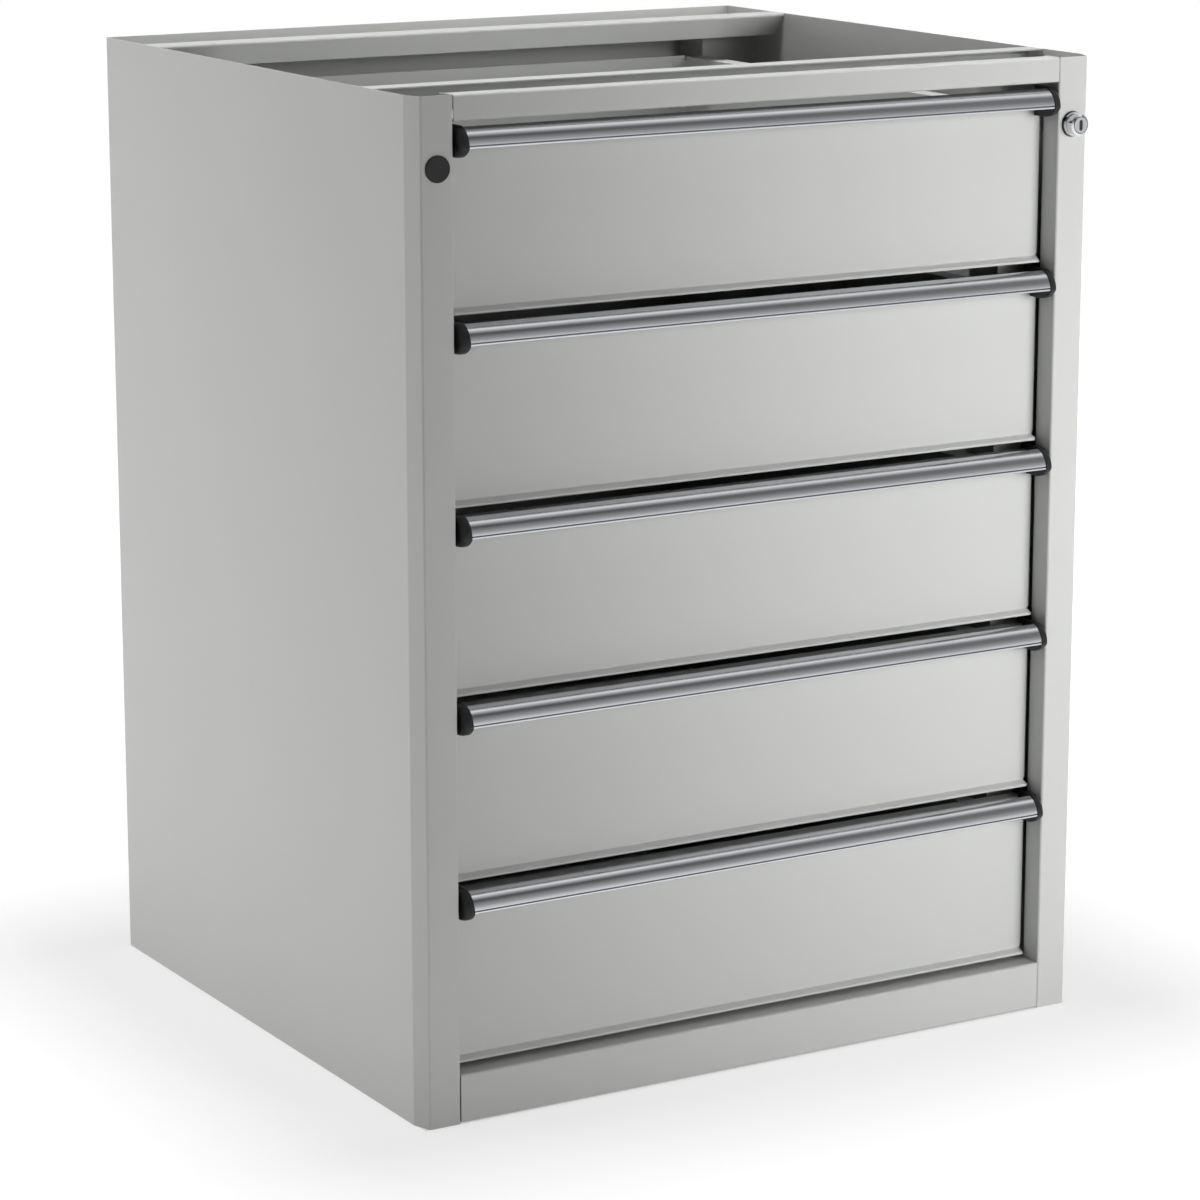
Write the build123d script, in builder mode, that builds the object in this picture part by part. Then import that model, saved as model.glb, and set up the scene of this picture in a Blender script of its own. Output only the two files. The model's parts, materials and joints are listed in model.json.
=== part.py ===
from build123d import *
import os
from math import cos, radians, sin, sqrt

# A steel drawer cabinet made to stand under a worktop: a folded-sheet carcass that is open at the
# top, five equal drawers on telescopic slides, and one lock that holds all the drawers.
# Lengths are millimetres and angles are degrees. X runs to the right, Y to the back, Z up.
# The origin is on the floor, below the middle of the whole object.

# Carcass
WIDTH = 620.0
DEPTH = 550.0
HEIGHT = 800.0
SHEET = 1.0
UPRIGHT_WIDTH = 33.0
CHAMFER_DEPTH = 16.2
CHAMFER_WIDTH = 5.6
RETURN_DEPTH = 20.0
REAR_FLANGE = 15.0
FOOT_FLANGE = 20.0
FOOT_SETBACK = 30.0
SEAM = 0.4

# Base pan, with the plinth as its front fold
PLINTH_HEIGHT = 40.0
PLINTH_LIFT = 1.5
PAN_FLANGE = 25.0

# Top rails
RAIL_HEIGHT = 20.0
FRONT_LIP = 15.0
RAIL_LIP = 24.0
RAIL_SLANT = 13.0
FRONT_RAIL_DEPTH = 90.0
REAR_RAIL_DEPTH = 98.0
WALL_FLANGE = 12.0
WORKTOP_HOLE = 7.0
WORKTOP_HOLE_SPACING = 480.0
WORKTOP_HOLE_SETBACK = 36.0

# Posts that carry the slides
POST_STANDOFF = 53.4
POST_WIDTH = 40.0
POST_SHEET = 1.5
POST_GAP = 4.5

# Drawer fronts
DRAWER_COUNT = 5
TOP_GAP = 4.3
DRAWER_GAP = 4.6
SILL_GAP = 4.0
SIDE_GAP = 2.3
RECESS = 20.5
FRONT_SHEET = 1.0
FRONT_FOLD = 2.0
FRONT_RETURN = 12.0
PANEL_DROP = 5.0
LIP_FLARE = 5.1
LIP_RISE = 2.8
LIP_HEM = 1.9
LIP_FOLD = 1.2

# Drawer trays
TRAY_SHEET = 1.0
TRAY_NOTCH = 2.0
TRAY_FLANGE = 16.0
TRAY_DROP = 16.0
TRAY_LIFT = 4.0
TRAY_RETURN = 15.0
BACK_RISE = 2.0
REAR_SPACE = 45.0

# Grip strips and their end caps
STRIP_RADIUS = 16.5
STRIP_SWEEP = 73.0
STRIP_PROUD = 28.3
STRIP_WALL = 2.0
STRIP_FOLD = 2.5
WEB_DROP = 6.5
LEG_LENGTH = 12.0
GROOVE_RISE = 2.1
GROOVE_WIDTH = 0.5
GROOVE_DEPTH = 0.5
CAP_WIDTH = 6.9
CAP_OVER = 0.8
CAP_FOOT = 7.6
CAP_SLOPE = 16.0
CAP_BULGE = 2.1
CAP_CORNER = 4.0
CAP_CHAMFER = 2.0
SPIGOT_LENGTH = 12.0
SPIGOT_HEIGHT = 3.5
SPIGOT_FIT = 0.2

# Telescopic slides
SLIDE_WIDTH = 19.1
SLIDE_HEIGHT = 46.0
SLIDE_SHEET = 1.5
SLIDE_DROP = 2.0
SLIDE_START = 18.5
SLIDE_HOLD = 14.0
SLIDE_MOUTH = 3.0
SLIDE_RUN = 0.4

# Lock
LOCK_DROP = 54.0
LOCK_PROUD = 12.0
LOCK_HOLE = 16.4
SLEEVE_DIAMETER = 16.0
SLEEVE_LENGTH = 24.0
ROSE_DIAMETER = 21.0
ROSE_FACE_DIAMETER = 18.4
ROSE_HEIGHT = 3.4
BARREL_DIAMETER = 11.0
BARREL_RUN = 0.08
BARREL_HEAD_DIAMETER = 17.0
BARREL_HEAD_CHAMFER = 1.6
BARREL_HEAD_GAP = 0.3
KEYWAY_WIDTH = 3.2
KEYWAY_HEIGHT = 9.0
KEYWAY_DEPTH = 6.0
TAIL_WIDTH = 6.0
TAIL_FIT = 0.1
NUT_FLATS = 20.0
NUT_HEIGHT = 4.0
CAM_SHEET = 3.0
CAM_HUB_DIAMETER = 14.0
CAM_ARM_WIDTH = 8.0
CAM_THROW = 7.0
CAM_SWING = 45.0
CAM_PIN_DIAMETER = 4.0
CAM_PIN_END = 1.5

# Locking bar, its tabs and guides, and the catches on the drawers
BAR_WIDTH = 20.0
BAR_SHEET = 2.0
BAR_GAP = 1.5
BAR_INSET = 10.5
BAR_END = 16.0
BAR_RUN = 0.3
BAR_SLOT_PLAY = 0.9
TAB_HEIGHT = 8.0
TAB_LAP = 12.0
TAB_SHEET = 2.0
GUIDE_HEIGHT = 18.0
GUIDE_WALL = 3.0
GUIDE_RISE = 60.0
CATCH_SHEET = 1.5
CATCH_WIDTH = 10.0
CATCH_INSET = 2.0
CATCH_FOOT = 14.0
CATCH_STOP = 10.0
CATCH_WELD = 0.1
CATCH_PLAY = 6.0
CATCH_CLEAR = 2.0
CATCH_DROP = 60.0

# Hole plug
PLUG_DIAMETER = 20.4
PLUG_HEIGHT = 1.6
PLUG_CHAMFER = 0.5
PLUG_STEM_FIT = 0.2
PLUG_STEM_LENGTH = 7.0

OVERRUN = 5.0

# Places that follow from the sizes above, with depths counted back from the carcass front
FRONT_Y = (LOCK_PROUD - DEPTH) / 2
FOLD = 2 * SHEET
HALF_INSIDE = WIDTH / 2 - SHEET
HALF_OPENING = WIDTH / 2 - UPRIGHT_WIDTH
HALF_FRONT = HALF_OPENING - SIDE_GAP
POST_FACE = WIDTH / 2 - POST_STANDOFF
HALF_TRAY = POST_FACE - SLIDE_WIDTH
BACK_DEPTH = DEPTH - 2 * SHEET
RAIL_BOTTOM = HEIGHT - RAIL_HEIGHT
DRAWER_SPACE = RAIL_BOTTOM - PLINTH_HEIGHT - TOP_GAP - SILL_GAP
FRONT_HEIGHT = (DRAWER_SPACE + DRAWER_GAP) / DRAWER_COUNT - DRAWER_GAP
DRAWER_PITCH = FRONT_HEIGHT + DRAWER_GAP
PANEL_BACK = RECESS + FRONT_SHEET
TRAY_END = DEPTH - REAR_SPACE
TRAY_TOP = FRONT_HEIGHT - TRAY_DROP
STRIP_DEPTH = RECESS - STRIP_PROUD + STRIP_RADIUS
STRIP_LEVEL = FRONT_HEIGHT - STRIP_RADIUS * sin(radians(STRIP_SWEEP))
WEB_LEVEL = FRONT_HEIGHT - WEB_DROP
HALF_STRIP = HALF_FRONT - CAP_WIDTH
REAR_POST_DEPTH = BACK_DEPTH - POST_WIDTH
SLIDE_DEPTH = PANEL_BACK + SLIDE_START
SLIDE_LENGTH = REAR_POST_DEPTH + SLIDE_HOLD - SLIDE_DEPTH
SLIDE_LEVEL = TRAY_TOP - TRAY_SHEET - SLIDE_DROP - SLIDE_HEIGHT / 2
LOCK_X = WIDTH / 2 - (CHAMFER_WIDTH + UPRIGHT_WIDTH) / 2
LOCK_LEVEL = HEIGHT - LOCK_DROP
BAR_DEPTH = RECESS + FRONT_RETURN + BAR_GAP
TAB_DEPTH = BAR_DEPTH + BAR_SHEET
CAM_DEPTH = BAR_DEPTH - BAR_GAP - CAM_SHEET
CATCH_DEPTH = TAB_DEPTH + TAB_SHEET + CATCH_PLAY
FRONT_POST_DEPTH = CATCH_DEPTH + CATCH_SHEET + POST_GAP
CATCH_LEVEL = FRONT_HEIGHT - CATCH_DROP
CATCH_OUTSIDE = HALF_FRONT - FRONT_SHEET - CATCH_INSET
TAB_LEVEL = CATCH_LEVEL - CATCH_STOP - CATCH_CLEAR - TAB_HEIGHT
BAR_OUTSIDE = WIDTH / 2 - BAR_INSET
BAR_INSIDE = BAR_OUTSIDE - BAR_WIDTH
PIN_X = LOCK_X - CAM_THROW * cos(radians(CAM_SWING))
PIN_LEVEL = LOCK_LEVEL - CAM_THROW * sin(radians(CAM_SWING))
LOWEST_DRAWER = PLINTH_HEIGHT + SILL_GAP
DRAWER_LEVELS = [LOWEST_DRAWER + DRAWER_PITCH * step for step in reversed(range(DRAWER_COUNT))]

# Drawing planes: PLAN looks down, SIDE looks from the right with depth across and height up
PLAN = Plane((0, FRONT_Y, 0))
SIDE = Plane((0, FRONT_Y, 0), x_dir=(0, 1, 0), z_dir=(1, 0, 0))


def elevation(depth):
    """Upright plane at a depth, seen from the front, with X across and height up."""
    return Plane((0, FRONT_Y + depth, 0), x_dir=(1, 0, 0), z_dir=(0, -1, 0))


def folded(plane, points, thickness, side, radius=0):
    """Section of a folded sheet: a line through the points, rounded at its folds, then thickened."""
    with BuildSketch(plane) as section:
        with BuildLine():
            if radius:
                FilletPolyline(*points, radius=radius)
            else:
                Polyline(*points)
            offset(amount=thickness, side=side, kind=Kind.INTERSECTION)
        make_face()
    return section.sketch


def block(plane, corner, opposite):
    """Rectangle on a plane between two corners."""
    with BuildSketch(plane) as section:
        with Locations(((corner[0] + opposite[0]) / 2, (corner[1] + opposite[1]) / 2)):
            Rectangle(abs(opposite[0] - corner[0]), abs(opposite[1] - corner[1]))
    return section.sketch


def slide_rails(web, mouth, half_height, side):
    """A pair of C-section rails, given the places across the slide of their web and open edges."""
    with BuildPart() as rails:
        rail_points = [
            (HALF_TRAY + mouth, SLIDE_LEVEL + half_height),
            (HALF_TRAY + web, SLIDE_LEVEL + half_height),
            (HALF_TRAY + web, SLIDE_LEVEL - half_height),
            (HALF_TRAY + mouth, SLIDE_LEVEL - half_height),
        ]
        section = folded(elevation(SLIDE_DEPTH), rail_points, SLIDE_SHEET, side)
        extrude(section, amount=-SLIDE_LENGTH)
        mirror(about=Plane.YZ)
    return rails


def lock_circle(diameter, depth):
    """Circle about the lock's axis, at a depth behind the front face."""
    with BuildSketch(elevation(depth)) as section:
        with Locations((LOCK_X, LOCK_LEVEL)):
            Circle(diameter / 2)
    return section.sketch


def lock_square(width, depth):
    """Square about the lock's axis, at a depth behind the front face."""
    with BuildSketch(elevation(depth)) as section:
        with Locations((LOCK_X, LOCK_LEVEL)):
            Rectangle(width, width)
    return section.sketch


def save(piece, name):
    """Label a finished piece and write its file."""
    piece.part.label = name
    export_step(piece.part, f"parts/{name}.step")


os.makedirs("parts", exist_ok=True)

# Side panels: rear flange, side, slanted front corner, front face and return in one sheet, with a
# foot flange along the floor and the hole that takes the lock on one side and a plug on the other
with BuildPart() as left_side_panel:
    side_points = [
        (REAR_FLANGE - WIDTH / 2, DEPTH),
        (-WIDTH / 2, DEPTH),
        (-WIDTH / 2, CHAMFER_DEPTH),
        (CHAMFER_WIDTH - WIDTH / 2, 0),
        (-HALF_OPENING, 0),
        (-HALF_OPENING, RETURN_DEPTH),
    ]
    extrude(folded(PLAN, side_points, SHEET, Side.LEFT, FOLD), amount=HEIGHT)
    foot_inner = (FOOT_FLANGE - WIDTH / 2, DEPTH - FOOT_SETBACK)
    extrude(block(PLAN, (-HALF_INSIDE, FOOT_SETBACK), foot_inner), amount=SHEET)
    with BuildSketch(elevation(0)):
        with Locations((-LOCK_X, LOCK_LEVEL)):
            Circle(LOCK_HOLE / 2)
    extrude(amount=SHEET + OVERRUN, both=True, mode=Mode.SUBTRACT)
save(left_side_panel, "left_side_panel")

with BuildPart() as right_side_panel:
    mirror(left_side_panel.part, about=Plane.YZ)
save(right_side_panel, "right_side_panel")

# Back panel, a flat sheet held against the rear flanges of the sides
with BuildPart() as back_panel:
    half_back = WIDTH / 2 - FOLD
    extrude(block(elevation(BACK_DEPTH), (-half_back, PLINTH_LIFT), (half_back, HEIGHT)), amount=-SHEET)
save(back_panel, "back_panel")

# Base pan: plinth, floor and rear fold in one sheet, with folds along both sides, notched round
# the uprights
with BuildPart() as base_pan:
    pan_points = [
        (0, PLINTH_LIFT),
        (0, PLINTH_HEIGHT),
        (BACK_DEPTH, PLINTH_HEIGHT),
        (BACK_DEPTH, PLINTH_HEIGHT - PAN_FLANGE),
    ]
    extrude(folded(SIDE, pan_points, SHEET, Side.RIGHT, FOLD), amount=HALF_INSIDE, both=True)
    fold_length = BACK_DEPTH - FOLD - FOOT_SETBACK
    for hand in (-1, 1):
        fold_bottom = (hand * HALF_INSIDE, PLINTH_HEIGHT - PAN_FLANGE)
        fold_top = (hand * (HALF_INSIDE - SHEET), PLINTH_HEIGHT - SHEET)
        extrude(block(elevation(FOOT_SETBACK), fold_bottom, fold_top), amount=-fold_length)
        notch_corner = (hand * (HALF_OPENING - SEAM), -OVERRUN)
        notch_opposite = (hand * (HALF_INSIDE + OVERRUN), RETURN_DEPTH + SEAM)
        extrude(block(PLAN, notch_corner, notch_opposite), amount=HEIGHT, mode=Mode.SUBTRACT)
save(base_pan, "base_pan")

# Top rails: two open troughs that tie the sides together and carry the worktop on their lips
with BuildPart() as top_front_rail:
    front_rail_points = [
        (FRONT_LIP, HEIGHT),
        (0, HEIGHT),
        (0, RAIL_BOTTOM),
        (FRONT_RAIL_DEPTH - RAIL_SLANT, RAIL_BOTTOM),
        (FRONT_RAIL_DEPTH, HEIGHT),
        (FRONT_RAIL_DEPTH - RAIL_LIP, HEIGHT),
    ]
    extrude(folded(SIDE, front_rail_points, SHEET, Side.LEFT, FOLD), amount=HALF_INSIDE, both=True)
    for hand in (-1, 1):
        notch_corner = (hand * (HALF_OPENING - SEAM), -OVERRUN)
        notch_opposite = (hand * (HALF_INSIDE + OVERRUN), RETURN_DEPTH + SEAM)
        extrude(block(PLAN, notch_corner, notch_opposite), amount=HEIGHT + OVERRUN, mode=Mode.SUBTRACT)
    with BuildSketch(PLAN.offset(RAIL_BOTTOM)):
        with Locations((0, WORKTOP_HOLE_SETBACK)):
            with GridLocations(WORKTOP_HOLE_SPACING, 0, 2, 1):
                Circle(WORKTOP_HOLE / 2)
    extrude(amount=SHEET + OVERRUN, both=True, mode=Mode.SUBTRACT)
save(top_front_rail, "top_front_rail")

with BuildPart() as top_rear_rail:
    rear_rail_front = DEPTH - REAR_RAIL_DEPTH
    rear_rail_points = [
        (rear_rail_front + RAIL_LIP, HEIGHT),
        (rear_rail_front, HEIGHT),
        (rear_rail_front + RAIL_SLANT, RAIL_BOTTOM),
        (BACK_DEPTH, RAIL_BOTTOM),
        (BACK_DEPTH, RAIL_BOTTOM + WALL_FLANGE),
    ]
    extrude(folded(SIDE, rear_rail_points, SHEET, Side.LEFT, FOLD), amount=HALF_INSIDE, both=True)
    with BuildSketch(PLAN.offset(RAIL_BOTTOM)):
        with Locations((0, DEPTH - WORKTOP_HOLE_SETBACK)):
            with GridLocations(WORKTOP_HOLE_SPACING, 0, 2, 1):
                Circle(WORKTOP_HOLE / 2)
    extrude(amount=SHEET + OVERRUN, both=True, mode=Mode.SUBTRACT)
save(top_rear_rail, "top_rear_rail")

# Runner posts: upright channels, open towards the sides, from the floor of the pan to the rails
with BuildPart() as runner_posts:
    for depth in (FRONT_POST_DEPTH, REAR_POST_DEPTH):
        post_points = [
            (HALF_INSIDE, depth),
            (POST_FACE, depth),
            (POST_FACE, depth + POST_WIDTH),
            (HALF_INSIDE, depth + POST_WIDTH),
        ]
        post_section = folded(PLAN.offset(PLINTH_HEIGHT), post_points, POST_SHEET, Side.RIGHT)
        extrude(post_section, amount=RAIL_BOTTOM - PLINTH_HEIGHT)
    mirror(about=Plane.YZ)
save(runner_posts, "runner_posts")

# One drawer is made here with the lowest edge of its front at the level 0

# Drawer front: face with folded ends, a fold along the top, and a lip that flares out at the bottom
with BuildPart() as drawer_front:
    lip_top = LIP_HEM + LIP_RISE
    panel_top = FRONT_HEIGHT - PANEL_DROP
    face_points = [
        (-HALF_FRONT, RECESS + FRONT_RETURN),
        (-HALF_FRONT, RECESS),
        (HALF_FRONT, RECESS),
        (HALF_FRONT, RECESS + FRONT_RETURN),
    ]
    face_bottom = lip_top + FRONT_FOLD
    face_section = folded(PLAN.offset(face_bottom), face_points, FRONT_SHEET, Side.LEFT, FRONT_FOLD)
    extrude(face_section, amount=panel_top - FRONT_FOLD - face_bottom)
    top_points = [
        (RECESS, panel_top - FRONT_RETURN),
        (RECESS, panel_top),
        (RECESS + FRONT_RETURN, panel_top),
    ]
    top_section = folded(SIDE, top_points, FRONT_SHEET, Side.RIGHT, FRONT_FOLD)
    extrude(top_section, amount=HALF_FRONT - FRONT_FOLD, both=True)
    lip_points = [
        (RECESS, lip_top + FRONT_RETURN),
        (RECESS, lip_top),
        (RECESS - LIP_FLARE, LIP_HEM),
        (RECESS - LIP_FLARE, 0),
    ]
    lip_section = folded(SIDE, lip_points, FRONT_SHEET, Side.LEFT, LIP_FOLD)
    extrude(lip_section, amount=HALF_FRONT - FRONT_FOLD, both=True)

# Tray: front wall, floor and sides with flanges over the slides, and returns at the rear corners
with BuildPart() as drawer_tray:
    tray_points = [
        (-HALF_TRAY - TRAY_FLANGE, TRAY_TOP),
        (-HALF_TRAY, TRAY_TOP),
        (-HALF_TRAY, TRAY_LIFT),
        (HALF_TRAY, TRAY_LIFT),
        (HALF_TRAY, TRAY_TOP),
        (HALF_TRAY + TRAY_FLANGE, TRAY_TOP),
    ]
    tray_section = folded(elevation(PANEL_BACK), tray_points, TRAY_SHEET, Side.LEFT)
    extrude(tray_section, amount=PANEL_BACK - TRAY_END)
    wall_bottom = TRAY_LIFT + TRAY_NOTCH
    wall_top = TRAY_TOP - TRAY_NOTCH
    half_floor = HALF_TRAY - TRAY_SHEET
    front_wall = block(elevation(PANEL_BACK), (-half_floor, TRAY_LIFT + TRAY_SHEET), (half_floor, wall_top))
    extrude(front_wall, amount=-TRAY_SHEET)
    for hand in (-1, 1):
        return_start = (hand * half_floor, wall_bottom)
        return_end = (hand * (HALF_TRAY - TRAY_RETURN), wall_top)
        rear_return = block(elevation(TRAY_END - 2 * TRAY_SHEET), return_start, return_end)
        extrude(rear_return, amount=-TRAY_SHEET)

# Back wall of the tray, fixed behind the rear returns
with BuildPart() as drawer_back:
    half_wall = HALF_TRAY - TRAY_NOTCH
    wall_corner = (-half_wall, TRAY_LIFT + TRAY_SHEET)
    back_wall = block(elevation(TRAY_END - TRAY_SHEET), wall_corner, (half_wall, TRAY_TOP + BACK_RISE))
    extrude(back_wall, amount=-TRAY_SHEET)

# Grip strip: a curved front with a grooved lip, a web behind it and a leg fixed to the panel
with BuildPart() as drawer_handle:
    top_angle = 180 - STRIP_SWEEP
    centre = (STRIP_DEPTH, STRIP_LEVEL)
    with BuildSketch(SIDE):
        with BuildLine():
            outer = CenterArc(centre, STRIP_RADIUS, top_angle, STRIP_SWEEP)
            inner = CenterArc(centre, STRIP_RADIUS - STRIP_WALL, top_angle, STRIP_SWEEP)
            Line(outer @ 0, inner @ 0)
            Line(outer @ 1, inner @ 1)
        make_face()
    extrude(amount=HALF_STRIP, both=True)
    web_middle = WEB_LEVEL - STRIP_WALL / 2 - STRIP_LEVEL
    web_start = STRIP_DEPTH - sqrt((STRIP_RADIUS - STRIP_WALL / 2) ** 2 - web_middle**2)
    web_points = [
        (web_start, WEB_LEVEL),
        (RECESS, WEB_LEVEL),
        (RECESS, WEB_LEVEL - LEG_LENGTH),
    ]
    extrude(folded(SIDE, web_points, STRIP_WALL, Side.RIGHT, STRIP_FOLD), amount=HALF_STRIP, both=True)
    groove_front = STRIP_DEPTH - sqrt(STRIP_RADIUS**2 - GROOVE_RISE**2)
    groove_low = (groove_front - OVERRUN, STRIP_LEVEL + GROOVE_RISE - GROOVE_WIDTH / 2)
    groove_high = (groove_front + GROOVE_DEPTH, STRIP_LEVEL + GROOVE_RISE + GROOVE_WIDTH / 2)
    groove = block(SIDE, groove_low, groove_high)
    extrude(groove, amount=HALF_STRIP + OVERRUN, both=True, mode=Mode.SUBTRACT)

# End caps of the strip: moulded blocks with a chamfered outer end, plugged in above the web
with BuildPart() as drawer_end_caps:
    cap_radius = STRIP_RADIUS + CAP_OVER
    cap_bottom = STRIP_LEVEL - CAP_FOOT
    with BuildSketch(SIDE.offset(HALF_STRIP)) as cap_section:
        with BuildLine():
            crown = CenterArc(centre, cap_radius, top_angle, STRIP_SWEEP)
            toe = (STRIP_DEPTH - cap_radius + CAP_SLOPE, cap_bottom)
            SagittaArc(crown @ 1, toe, -CAP_BULGE)
            Polyline(toe, (RECESS, cap_bottom), (RECESS, (crown @ 0).Y), crown @ 0)
        make_face()
        fillet(cap_section.vertices().sort_by(Axis.X)[:-2], radius=CAP_CORNER)
    extrude(amount=CAP_WIDTH)
    outer_rim = faces().sort_by(Axis.X)[-1].edges().sort_by(Axis.Y)[:-1]
    chamfer(outer_rim, length=CAP_CHAMFER)
    spigot_low = (STRIP_DEPTH, WEB_LEVEL + SPIGOT_FIT)
    spigot_high = (RECESS - SPIGOT_FIT, WEB_LEVEL + SPIGOT_FIT + SPIGOT_HEIGHT)
    extrude(block(SIDE.offset(HALF_STRIP), spigot_low, spigot_high), amount=-SPIGOT_LENGTH)
    mirror(about=Plane.YZ)

# Telescopic slides: the outer rails stay on the posts, the inner rails go with the tray, and the
# middle rails run between them
rail_step = SLIDE_SHEET + SLIDE_RUN
middle_web = SLIDE_WIDTH - rail_step
outer_rails = slide_rails(SLIDE_WIDTH, SLIDE_MOUTH, SLIDE_HEIGHT / 2, Side.RIGHT)
middle_rails = slide_rails(middle_web, SLIDE_MOUTH, SLIDE_HEIGHT / 2 - rail_step, Side.RIGHT)
inner_rails = slide_rails(0, middle_web - rail_step, SLIDE_HEIGHT / 2 - 2 * rail_step, Side.LEFT)

# Catch behind the right end of the drawer front: an angle and the stop plate welded to its end,
# which the locking bar's tab blocks
with BuildPart() as drawer_catch:
    angle_points = [
        (PANEL_BACK, CATCH_LEVEL + CATCH_FOOT),
        (PANEL_BACK, CATCH_LEVEL),
        (CATCH_DEPTH - CATCH_WELD, CATCH_LEVEL),
    ]
    catch_plane = SIDE.offset(CATCH_OUTSIDE - CATCH_WIDTH)
    extrude(folded(catch_plane, angle_points, CATCH_SHEET, Side.LEFT), amount=CATCH_WIDTH)
    stop_low = (CATCH_DEPTH, CATCH_LEVEL - CATCH_STOP)
    stop_high = (CATCH_DEPTH + CATCH_SHEET, CATCH_LEVEL + CATCH_SHEET)
    extrude(block(catch_plane, stop_low, stop_high), amount=CATCH_WIDTH)

drawer_pieces = {
    "front": drawer_front,
    "tray": drawer_tray,
    "back": drawer_back,
    "handle": drawer_handle,
    "end_caps": drawer_end_caps,
    "inner_rails": inner_rails,
    "middle_rails": middle_rails,
    "outer_rails": outer_rails,
    "catch": drawer_catch,
}
for number, level in enumerate(DRAWER_LEVELS, start=1):
    for piece_name, piece in drawer_pieces.items():
        with BuildPart() as placed_piece:
            with Locations((0, 0, level)):
                add(piece.part)
        save(placed_piece, f"drawer_{number}_{piece_name}")

# Lock: a threaded case in the right upright, its nut, a barrel that the key turns, and a cam
with BuildPart() as lock_case:
    extrude(lock_circle(SLEEVE_DIAMETER, 0), amount=-SLEEVE_LENGTH)
    loft([lock_circle(ROSE_DIAMETER, 0), lock_circle(ROSE_FACE_DIAMETER, -ROSE_HEIGHT)])
    bore = lock_circle(BARREL_DIAMETER + 2 * BARREL_RUN, 0)
    extrude(bore, amount=SLEEVE_LENGTH + OVERRUN, both=True, mode=Mode.SUBTRACT)
save(lock_case, "lock_case")

with BuildPart() as lock_nut:
    with BuildSketch(elevation(SHEET)):
        with Locations((LOCK_X, LOCK_LEVEL)):
            RegularPolygon(NUT_FLATS / 2, 6, major_radius=False)
            Circle(SLEEVE_DIAMETER / 2, mode=Mode.SUBTRACT)
    extrude(amount=-NUT_HEIGHT)
save(lock_nut, "lock_nut")

with BuildPart() as lock_barrel:
    head_back = -ROSE_HEIGHT - BARREL_HEAD_GAP
    extrude(lock_circle(BARREL_HEAD_DIAMETER, head_back), amount=LOCK_PROUD + head_back)
    chamfer(faces().sort_by(Axis.Y)[0].edges(), length=BARREL_HEAD_CHAMFER)
    extrude(lock_circle(BARREL_DIAMETER, head_back), amount=head_back - CAM_DEPTH)
    extrude(lock_square(TAIL_WIDTH, CAM_DEPTH), amount=-CAM_SHEET)
    with BuildSketch(elevation(-LOCK_PROUD)):
        with Locations((LOCK_X, LOCK_LEVEL)):
            SlotOverall(KEYWAY_HEIGHT, KEYWAY_WIDTH, rotation=90)
    extrude(amount=-KEYWAY_DEPTH, mode=Mode.SUBTRACT)
save(lock_barrel, "lock_barrel")

with BuildPart() as lock_cam:
    with BuildSketch(elevation(CAM_DEPTH)):
        with Locations((LOCK_X, LOCK_LEVEL)):
            Circle(CAM_HUB_DIAMETER / 2)
        with Locations((PIN_X, PIN_LEVEL)):
            Circle(CAM_ARM_WIDTH / 2)
        make_hull()
        with Locations((LOCK_X, LOCK_LEVEL)):
            Rectangle(TAIL_WIDTH + TAIL_FIT, TAIL_WIDTH + TAIL_FIT, mode=Mode.SUBTRACT)
    extrude(amount=-CAM_SHEET)
    with BuildSketch(elevation(CAM_DEPTH + CAM_SHEET)):
        with Locations((PIN_X, PIN_LEVEL)):
            Circle(CAM_PIN_DIAMETER / 2)
    extrude(amount=-BAR_GAP - BAR_SHEET - CAM_PIN_END)
save(lock_cam, "lock_cam")

# Locking bar behind the right upright, raised by the cam's pin in its slot
bar_bottom = DRAWER_LEVELS[-1] + TAB_LEVEL - BAR_END
with BuildPart() as locking_bar:
    bar_top = (BAR_OUTSIDE, LOCK_LEVEL + BAR_END)
    extrude(block(elevation(BAR_DEPTH), (BAR_INSIDE, bar_bottom), bar_top), amount=-BAR_SHEET)
    pin_sweep = CAM_THROW - (LOCK_X - PIN_X)
    with BuildSketch(elevation(BAR_DEPTH)):
        with Locations((PIN_X - pin_sweep / 2, PIN_LEVEL)):
            slot_width = CAM_PIN_DIAMETER + BAR_SLOT_PLAY
            SlotOverall(slot_width + pin_sweep, slot_width)
    extrude(amount=-BAR_SHEET - OVERRUN, mode=Mode.SUBTRACT)
save(locking_bar, "locking_bar")

with BuildPart() as locking_tabs:
    for level in DRAWER_LEVELS:
        tab_corner = (CATCH_OUTSIDE - CATCH_WIDTH, level + TAB_LEVEL)
        tab_opposite = (BAR_INSIDE + TAB_LAP, level + TAB_LEVEL + TAB_HEIGHT)
        extrude(block(elevation(TAB_DEPTH), tab_corner, tab_opposite), amount=-TAB_SHEET)
save(locking_tabs, "locking_tabs")

# Guides: loops fixed to the right side, which the bar runs through
with BuildPart() as bar_guides:
    guide_inside = BAR_INSIDE - BAR_RUN - GUIDE_WALL
    guide_front = BAR_DEPTH - BAR_RUN - GUIDE_WALL
    guide_back = TAB_DEPTH + BAR_RUN + GUIDE_WALL
    guide_hole_low = (BAR_INSIDE - BAR_RUN, BAR_DEPTH - BAR_RUN)
    guide_hole_high = (BAR_OUTSIDE + BAR_RUN, TAB_DEPTH + BAR_RUN)
    for level in DRAWER_LEVELS[1:]:
        guide_plane = PLAN.offset(level + TAB_LEVEL + TAB_HEIGHT + GUIDE_RISE)
        guide_outline = block(guide_plane, (guide_inside, guide_front), (HALF_INSIDE, guide_back))
        extrude(guide_outline, amount=GUIDE_HEIGHT)
        guide_hole = block(guide_plane, guide_hole_low, guide_hole_high)
        extrude(guide_hole, amount=GUIDE_HEIGHT, mode=Mode.SUBTRACT)
save(bar_guides, "bar_guides")

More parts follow.
